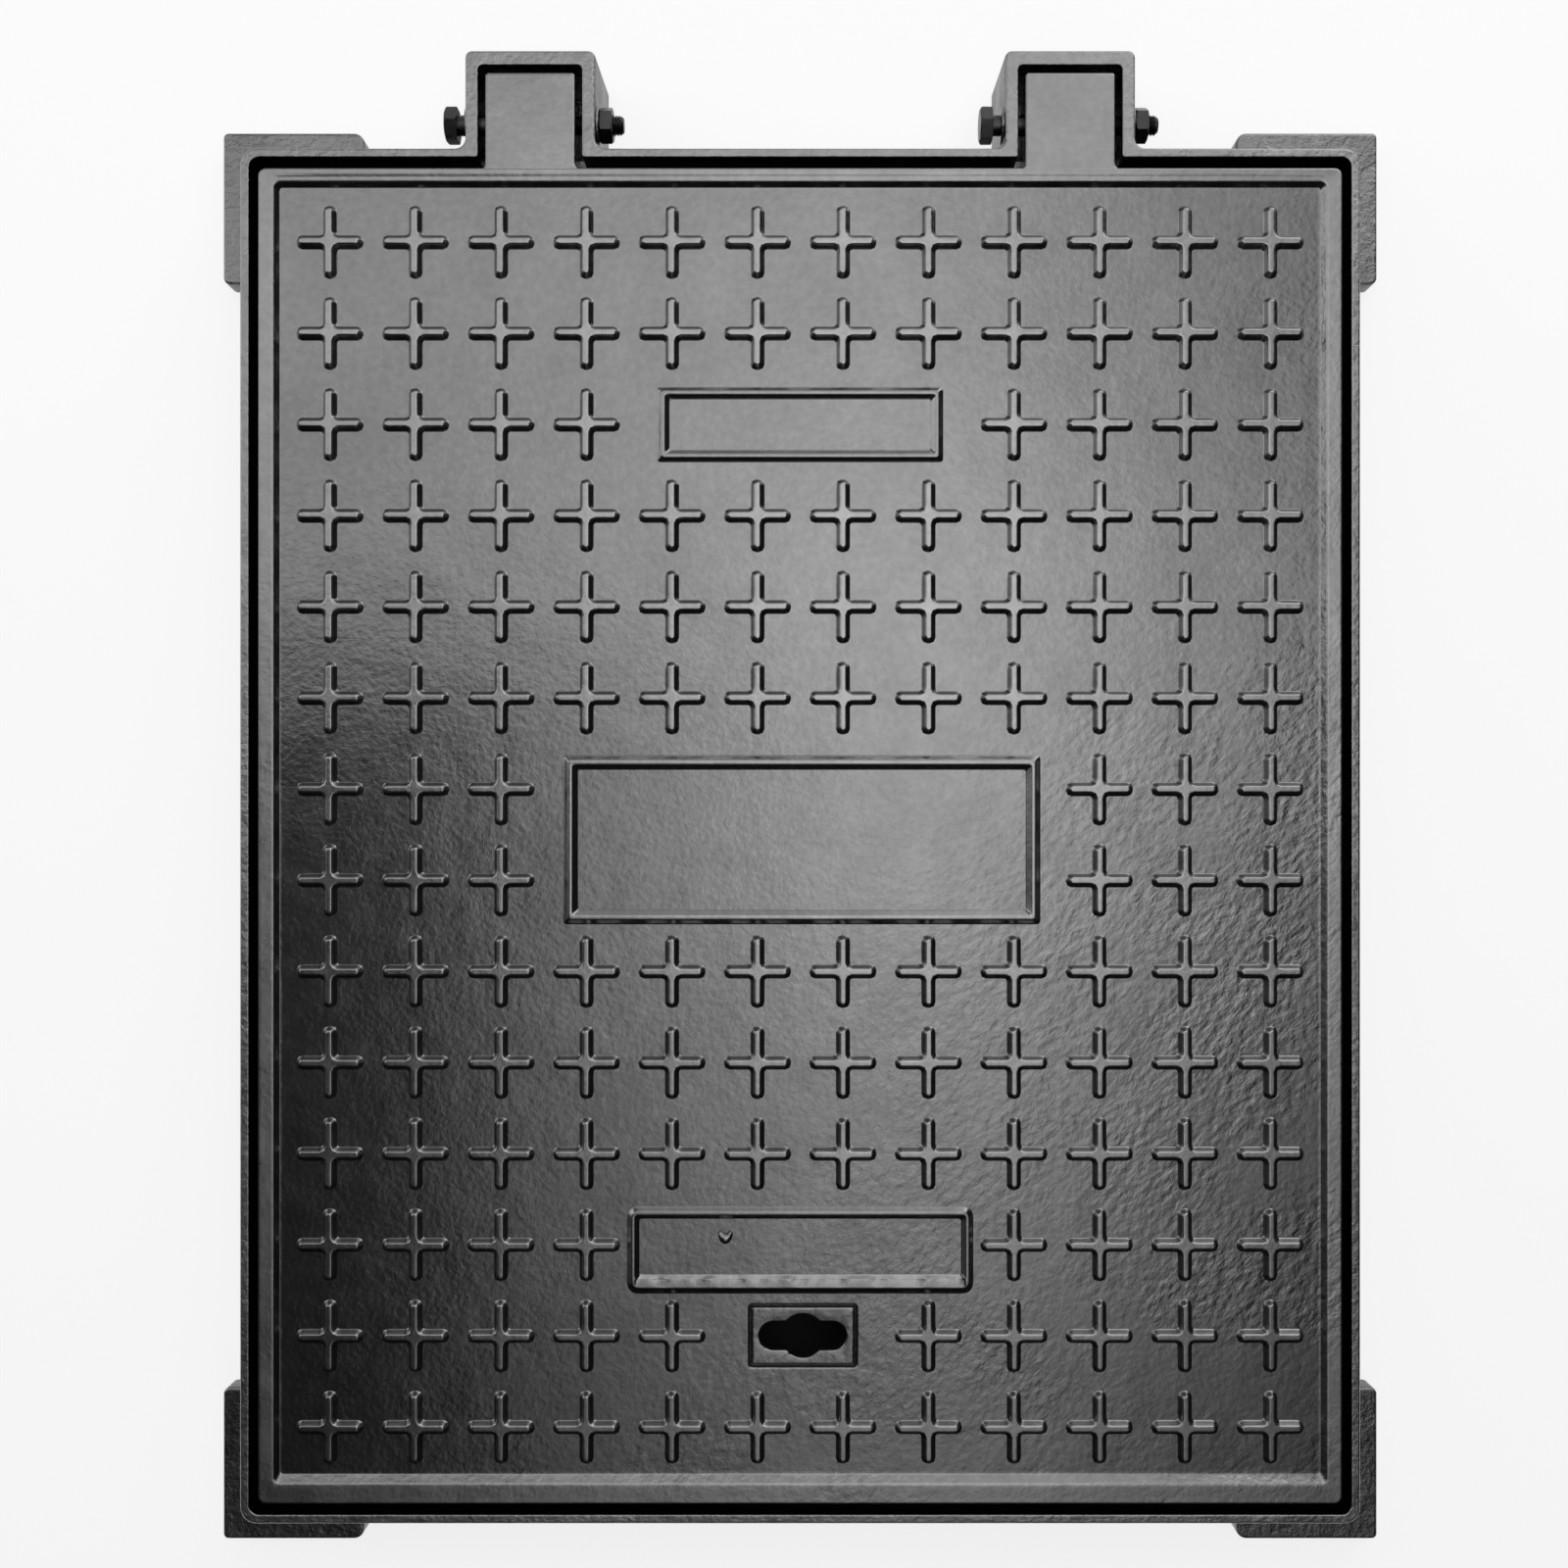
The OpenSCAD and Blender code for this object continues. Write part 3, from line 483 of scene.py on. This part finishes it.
def ribs():
    return ([rib_part(COVER[0] - 8, OPENING[0], y, across=True) for y in RIBS_ACROSS_Y]
            + [rib_part(COVER[1] - 8, OPENING[1], x) for x in RIBS_ALONG_X])


piece("cover", [plate_part()], cover_coat, "cover_body", ["cover"])
piece("cover_treads", tread_parts(), raised_coat, "cover_body")
piece("cover_labels", [label_part(*label) for label in LABELS] + [blemish_part()], raised_coat, "cover_body")
piece("cover_ribs", ribs(), cover_coat, "cover_body")
piece("cover_lugs", lug_parts(-HINGE_X) + lug_parts(HINGE_X), cover_coat, "cover_body")


# ---------------------------------------------------------------- frame

def housing_pairs(x):
    """Outer and inner points of one housing's wall, from its right root round its end to its left root."""
    hw, pw, oy, iy = HOUSING_HALF, POCKET_HALF, WALL_OUT[1], WALL_IN[1]
    outer = np.concatenate([
        [(hw + 9, oy)], arc((hw + 6, oy + 6), 6, 270, 180, 7), [(hw, oy + 14)],
        arc((hw - 4, HOUSING_END - 4), 4, 0, 90, 6)
    ])
    inner = np.concatenate([
        [(hw + 9, iy)], np.column_stack([np.linspace(hw + 6, pw + 4, 3), np.full(3, iy)]),
        arc((pw + 1.5, iy + 1.5), 1.5, 270, 180, 4), [(pw, oy + 14)],
        arc((pw - 3, POCKET_END - 3), 3, 0, 90, 6)
    ])
    both = np.stack([outer, inner], 1)
    left = (both * (-1, 1))[::-1]
    return np.concatenate([both, left]) + (x, 0)


def wall_part():
    """The frame's wall and the housings' walls as one closed band that winds round the frame: under the base, up the
    outer face, which flares towards the base, over the round top edge and down the inner face."""
    def corner(sx, sy, start):
        lines = ((WALL_OUT, WALL_OUT_R), (WALL_IN, WALL_IN_R))
        return np.stack([arc((sx * (hx - r), sy * (hy - r)), r, start, start + 90, 9) for (hx, hy), r in lines], 1)

    pairs = np.concatenate([
        corner(1, 1, 0), housing_pairs(HINGE_X), housing_pairs(-HINGE_X), corner(-1, 1, 90), corner(-1, -1, 180),
        corner(1, -1, 270)
    ])
    outer, inner = pairs[:, 0], pairs[:, 1]
    loops = [at_height(offset(inner, 0.4), 0.1), at_height(offset(outer, 1.6), 0.1)]
    for z in (0.6, 1.6, 20.0, 57.8):
        loops.append(at_height(offset(outer, WALL_FLARE * (1 - z / TOP)), z))
    for inset, z in ((0.1, 58.6), (0.35, 59.3), (0.8, 59.8), (1.4, TOP), (1.8, TOP)):
        loops.append(at_height(offset(outer, -inset), z))
    for inset, z in ((1.2, TOP), (0.6, TOP), (0.2, 59.85), (0.02, 59.4), (0, 58.6), (0, 1.2)):
        loops.append(at_height(offset(inner, inset), z))
    return skin(loops, closed=True)


def seat_part():
    """Seat ledge with the lip along its inner edge, as one closed tube of rectangles."""
    loops = []
    for out, z in ((29.8, SEAT), (2.4, SEAT), (1.4, SEAT), (0.6, 35.8), (0.1, 35.2), (0, 34.2), (0, 17.6), (0.2, 16.6),
                   (0.9, LIP_UNDER), (1.6, LIP_UNDER), (4.4, LIP_UNDER), (5.2, 16.2), (5.8, 16.8), (6, 17.8), (6, 25),
                   (6.5, 26.8), (7.6, 27.8), (9.5, LEDGE_UNDER), (11, LEDGE_UNDER), (29.8, LEDGE_UNDER)):
        loops.append(at_height(rectangle((OPENING[0] + out, OPENING[1] + out), 12 + out if out < 20 else 9), z))
    return skin(loops, closed=True)


def gusset_parts():
    """Gussets between the lip and the wall: four-sided plates 6 mm thick with soft edges, evenly spaced."""
    def plate(out, lip):
        side = np.array([(lip - 1, LIP_UNDER + 0.3), (out + 1, 2.3), (out + 1, 29), (lip - 1, 29)])
        return raised(side, [(-0.5, -3), (0, -2.5), (0, 2.5), (-0.5, 3)])

    side, end = plate(WALL_IN[0], OPENING[0] + LIP_W), plate(WALL_IN[1], OPENING[1] + LIP_W)
    side_y = (np.arange(1, 6) / 6 - 0.5) * 2 * WALL_IN[1]
    end_x = (np.arange(1, 5) / 5 - 0.5) * 2 * WALL_IN[0]
    parts = []
    for s in (-1, 1):
        parts += [moved(side, ((s, 0, 0), (0, 0, 1), (0, 1, 0)), (0, y, 0)) for y in side_y]
        parts += [moved(end, ((0, s, 0), (0, 0, 1), (1, 0, 0)), (x, 0, 0)) for x in end_x]
    return parts


def foot_parts():
    """L-shaped corner feet: one outline with round outer corners, mirrored into the four corners."""
    bx, by = BASE
    long_x, long_y = FOOT_ARMS
    corners = [(bx - long_x, by), (bx - long_x, 407), (331, 407), (331, by - long_y), (bx, by - long_y), (bx, by)]
    outline = rounded(corners, [6, 0, 0, 0, 4, 3], [7, 1, 1, 1, 7, 5])
    points, faces = raised(outline, [(-0.8, 0), (-0.3, 0), (-0.05, 0.4), *top_edge(FOOT_H, 1.4)])
    return [(points * (sx, sy, 1), faces) for sx in (-1, 1) for sy in (-1, 1)]


def housing_parts(x):
    """The rest of a housing: the wall under the lug, the floor of the well and the two bosses round the bolt."""
    w = WELL_HALF
    under = np.array([(-w, 404.6), (w, 404.6), (w, 411.9), (-w, 411.9)])
    floor = np.array([(-w, 409.0), (w, 409.0), (w, 461.0), (-w, 461.0)])
    parts = [raised(under, [(0, 0.2), (0, 33.4), (-0.6, 34)]), raised(floor, [(0, 0.2), (0, WELL_FLOOR)])]
    parts = [(points + (x, 0, 0), faces) for points, faces in parts]
    ring = arc((AXIS_Y, AXIS_Z), BOSS_R, 0, 360, 41)[:-1]
    for s in (-1, 1):
        boss = raised(ring, [(0, -5), (0, 0.3), (-0.2, 0.8), (-0.7, 1.2), (-1.2, 1.3)])
        parts.append(moved(boss, ((0, 1, 0), (0, 0, 1), (s, 0, 0)), (x + s * BOSS_AT, 0, 0)))
    return parts


piece("frame", [wall_part(), seat_part()], frame_coat, "frame_body", ["frame"])
piece("frame_feet", foot_parts(), frame_coat, "frame_body")
piece("frame_gussets", gusset_parts(), frame_coat, "frame_body", sharp=35)
piece("frame_housings", housing_parts(-HINGE_X) + housing_parts(HINGE_X), frame_coat, "frame_body",
      sharp=35)


# ---------------------------------------------------------------- bolts and nuts

def revolved(rows, count=72, flats=None, lead=None):
    """Surface round the x axis from rows of (place, radius). With flats = (width, turn), the radius is cut to a hexagon
    of that width, turned by that many degrees. With lead = (pitch, depth), a thread winds along it."""
    a = np.arange(count) / count * 2 * math.pi
    loops = []
    for place, radius in rows:
        r = np.full(count, float(radius))
        if flats:
            turned = (a - math.radians(flats[1]) + math.pi / 6) % (math.pi / 3) - math.pi / 6
            r = np.minimum(r, flats[0] / 2 / np.cos(turned))
        if lead:
            wave = (place / lead[0] - a / (2 * math.pi)) % 1
            r = r - lead[1] * np.abs(2 * wave - 1)
        loops.append(np.column_stack([np.full(count, place), r * np.cos(a), r * np.sin(a)]))
    return skin(loops)


def bolt_parts():
    """Hexagon bolt along x, with its head's bearing face at 0: chamfered head, plain shank, and a wound thread that
    ends in a chamfered tip."""
    head = revolved([(0, 10.4), (-0.3, 10.9), (-6.3, HEX_R), (-6.9, 10.4), (-7.5, 9.3), (-7.5, 8.8)],
                    flats=(HEX_FLATS, 0))
    shank = revolved([(-1, BOLT_R), (THREAD_FROM, BOLT_R), (THREAD_FROM + 2, 5.3)])
    places = np.arange(THREAD_FROM, 98.2, 0.25)
    thread = revolved([(place, BOLT_R) for place in places], count=36, lead=(PITCH, THREAD_DEPTH))
    tip = revolved([(97.5, 4.9), (98.6, 5.3), (BOLT_LEN, 4.2)], count=36)
    return [head, shank, thread, tip]


def nut_parts():
    """Thin hexagon nut along x, from its face on the housing at 0, round a plain core that ends in its outer face."""
    rows = [(0, 9.3), (0.6, 10.4), (1.0, HEX_R), (7.0, HEX_R), (7.4, 10.4), (8, 9.3)]
    return [revolved(rows, flats=(HEX_FLATS, 30)), revolved([(0.2, 7.0), (7.9, 7.0), (8.0, 6.6)])]


for side, s in (("left", -1), ("right", 1)):
    for name, parts, start_x in (("hinge_bolt", bolt_parts(), BOLT_X), ("hinge_nut", nut_parts(), NUT_X)):
        shifted = [(points + (s * HINGE_X + start_x, AXIS_Y, AXIS_Z), faces) for points, faces in parts]
        piece(f"{name}_{side}", shifted, bolt_coat, "frame_body", [f"{name}_{side}"], sharp=28)


# ---------------------------------------------------------------- floor, lights and camera

# In metres, in the row frame
CEILING_Z, CEILING_HALF, CEILING_STRENGTH = 1.66, 2.6, 1.62
WALL_AT, WALL_FOOT, WALL_HEAD = 2.4, 0.1, 1.6
FLAG_HEAD = 1.7
FLOOR_HALF, SHADE_PATCH_HALF = 6.0, (0.333, 0.409)
CAMERA_HEIGHT, CAMERA_LENS, CAMERA_SHIFT = 1.14, 41.63, (-16.5 / 1600, 53.0 / 1600)


def seen_share(nodes, links, hidden, seen):
    """Value that is seen to the camera, to mirrors and through glass, and hidden to all other rays."""
    path = nodes.new("ShaderNodeLightPath")
    total = path.outputs["Is Camera Ray"]
    for name in ("Is Glossy Ray", "Is Transmission Ray"):
        either = nodes.new("ShaderNodeMath")
        either.operation = "MAXIMUM"
        links.new(total, either.inputs[0])
        links.new(path.outputs[name], either.inputs[1])
        total = either.outputs["Value"]
    level = nodes.new("ShaderNodeMapRange")
    level.inputs["To Min"].default_value = hidden
    level.inputs["To Max"].default_value = seen
    links.new(total, level.inputs["Value"])
    return level.outputs["Result"]


def stage_plane(name, corners, colour, seen=0.0, hide=False):
    """Flat stage surface through four corners, of a plain colour, that glows for what sees it as a backdrop."""
    mesh = bpy.data.meshes.new(name)
    mesh.from_pydata(corners, [], [(0, 1, 2, 3)])
    material = bpy.data.materials.new(name)
    material.use_nodes = True
    nodes, links = material.node_tree.nodes, material.node_tree.links
    shader = nodes["Principled BSDF"]
    shader.inputs["Base Color"].default_value = (*[colour] * 3, 1)
    shader.inputs["Roughness"].default_value = 0.9
    shader.inputs["Specular IOR Level"].default_value = 0.0
    if seen:
        shader.inputs["Emission Color"].default_value = (1, 1, 1, 1)
        links.new(seen_share(nodes, links, 0.0, seen), shader.inputs["Emission Strength"])
    mesh.materials.append(material)
    obj = bpy.data.objects.new(name, mesh)
    bpy.context.scene.collection.objects.link(obj)
    obj.visible_camera = not hide
    return material


def level_corners(half_x, half_y, z, y=0.0):
    return [(sx * half_x, y + sy * half_y, z) for sx, sy in ((-1, -1), (1, -1), (1, 1), (-1, 1))]


def wall_corners(start, end, foot, head):
    """Corners of an upright surface between two corners of the stage, given by their signs."""
    (ax, ay), (bx, by) = np.array([start, end]) * WALL_AT
    return [(ax, ay, foot), (bx, by, foot), (bx, by, head), (ax, ay, head)]


def blend_ramp(nodes, links, source, low, high, stops):
    """Smooth curve over a coordinate from low to high: stops are (share of the way, value)."""
    spread = nodes.new("ShaderNodeMapRange")
    spread.inputs["From Min"].default_value = low
    spread.inputs["From Max"].default_value = high
    links.new(source, spread.inputs["Value"])
    ramp = nodes.new("ShaderNodeValToRGB")
    ramp.color_ramp.interpolation = "EASE"
    while len(ramp.color_ramp.elements) < len(stops):
        ramp.color_ramp.elements.new(0.5)
    for element, (place, value) in zip(ramp.color_ramp.elements, stops):
        element.position = place
        element.color = (value, value, value, 1)
    links.new(spread.outputs["Result"], ramp.inputs["Fac"])
    return ramp.outputs["Color"]


def maths(nodes, links, a, b, operation="MULTIPLY"):
    """Result of the operation on two values, each a plain number or a socket."""
    node = nodes.new("ShaderNodeMath")
    node.operation = operation
    for socket, value in zip(node.inputs, (a, b)):
        if isinstance(value, float):
            socket.default_value = value
        else:
            links.new(value, socket)
    return node.outputs["Value"]


def softbox_ceiling():
    """Wide softbox above the cover, brightest over its middle and back. It fades to the front and to the right, most
    of all in the near right corner, and a flag shades its near left part, which leaves the cover's lower left dark.
    Far behind the cover, where only tilted faces see it, it grows from left to right."""
    corners = level_corners(CEILING_HALF, CEILING_HALF, CEILING_Z)[::-1]
    material = stage_plane("softbox_ceiling", corners, 0.0, hide=True)
    nodes, links = material.node_tree.nodes, material.node_tree.links
    split = nodes.new("ShaderNodeSeparateXYZ")
    links.new(nodes.new("ShaderNodeTexCoord").outputs["Object"], split.inputs["Vector"])
    x, y = split.outputs["X"], split.outputs["Y"]
    depth = blend_ramp(nodes, links, y, -1.4, 1.4, [(0.0, 0.1), (0.2, 0.34), (0.34, 0.6), (0.5, 0.95), (0.62, 1.0),
                                                    (0.8, 0.8), (1.0, 0.66)])
    to_left = blend_ramp(nodes, links, x, -0.75, 0.15, [(0.0, 0.975), (0.15, 0.965), (0.55, 0.5), (1.0, 0.0)])
    flag = blend_ramp(nodes, links, y, -0.1, 0.9, [(0.0, 1.0), (0.26, 1.0), (0.36, 0.6), (0.6, 0.42), (1.0, 0.18)])
    to_right = blend_ramp(nodes, links, x, 0.15, 1.05, [(0.0, 1.0), (0.55, 0.6), (0.8, 0.35), (1.0, 0.0)])
    far_right = blend_ramp(nodes, links, x, 0.2, 0.85, [(0.0, 0.0), (1.0, 0.4)])
    near = blend_ramp(nodes, links, y, -0.7, 0.2, [(0.0, 1.0), (0.6, 0.9), (1.0, 0.0)])
    shade = maths(nodes, links, 1.0, maths(nodes, links, to_left, flag), "SUBTRACT")
    corner = maths(nodes, links, 1.0, maths(nodes, links, far_right, near), "SUBTRACT")
    strength = maths(nodes, links, maths(nodes, links, depth, shade), maths(nodes, links, to_right, CEILING_STRENGTH))
    strength = maths(nodes, links, strength, corner)
    far = blend_ramp(nodes, links, y, 1.0, 1.5, [(0.0, 0.0), (1.0, 1.0)])
    across = blend_ramp(nodes, links, x, -1.4, 1.4, [(0.0, 0.2), (0.5, 0.65), (1.0, 2.2)])
    strength = maths(nodes, links, maths(nodes, links, strength, maths(nodes, links, 1.0, far, "SUBTRACT")),
                     maths(nodes, links, across, far), "ADD")
    shader = nodes["Principled BSDF"]
    shader.inputs["Emission Color"].default_value = (1, 1, 1, 1)
    links.new(strength, shader.inputs["Emission Strength"])


def softbox_wall(name, corners, along, stops, strength, lower):
    """Upright softbox whose light changes along one axis, with one strength in its upper part and another near its
    foot."""
    material = stage_plane(name, corners, 0.0, hide=True)
    nodes, links = material.node_tree.nodes, material.node_tree.links
    split = nodes.new("ShaderNodeSeparateXYZ")
    links.new(nodes.new("ShaderNodeTexCoord").outputs["Object"], split.inputs["Vector"])
    up = blend_ramp(nodes, links, split.outputs["Z"], 0.4, 0.8, [(0.0, lower), (1.0, strength)])
    level = maths(nodes, links, blend_ramp(nodes, links, split.outputs[along], -1.6, 1.6, stops), up)
    shader = nodes["Principled BSDF"]
    shader.inputs["Emission Color"].default_value = (1, 1, 1, 1)
    links.new(level, shader.inputs["Emission Strength"])


softbox_ceiling()
stage_plane("floor", level_corners(FLOOR_HALF, FLOOR_HALF, -0.0005), 0.25, seen=0.82)
# Near-black patch on the floor inside the frame: painted shade under the cover, which makes the key slot look black.
stage_plane("painted_shade_under_cover", level_corners(*SHADE_PATCH_HALF, -0.0002, y=-ORIGIN_Y * MM), 0.04)
stage_plane("flag_right", wall_corners((1, -1), (1, 1), 0, FLAG_HEAD), 0.02, hide=True)
stage_plane("flag_front", wall_corners((-1, -1), (1, -1), 0, FLAG_HEAD), 0.02, hide=True)
softbox_wall("softbox_back", wall_corners((-1, 1), (1, 1), WALL_FOOT, WALL_HEAD), "X",
             [(0.0, 0.08), (0.4, 0.3), (0.7, 0.6), (1.0, 1.0)], 1.8, lower=2.3)
softbox_wall("softbox_left", wall_corners((-1, -1), (-1, 1), WALL_FOOT, WALL_HEAD), "Y",
             [(0.0, 0.0), (0.4, 0.1), (0.75, 1.0), (1.0, 1.0)], 1.5, lower=0.9)

world = bpy.data.worlds.new("studio")
world.use_nodes = True
bpy.context.scene.world = world
sky = world.node_tree.nodes["Background"]
sky.inputs["Color"].default_value = (1, 1, 1, 1)
world.node_tree.links.new(seen_share(world.node_tree.nodes, world.node_tree.links, 0.4, 0.95), sky.inputs["Strength"])

camera = bpy.data.objects.new("camera", bpy.data.cameras.new("camera"))
camera.data.sensor_width = 36
camera.data.lens = CAMERA_LENS
camera.data.shift_x, camera.data.shift_y = CAMERA_SHIFT
camera.location = (0, -ORIGIN_Y * MM, CAMERA_HEIGHT)
bpy.context.scene.collection.objects.link(camera)
bpy.context.scene.camera = camera
bpy.context.scene.view_settings.view_transform = "Standard"
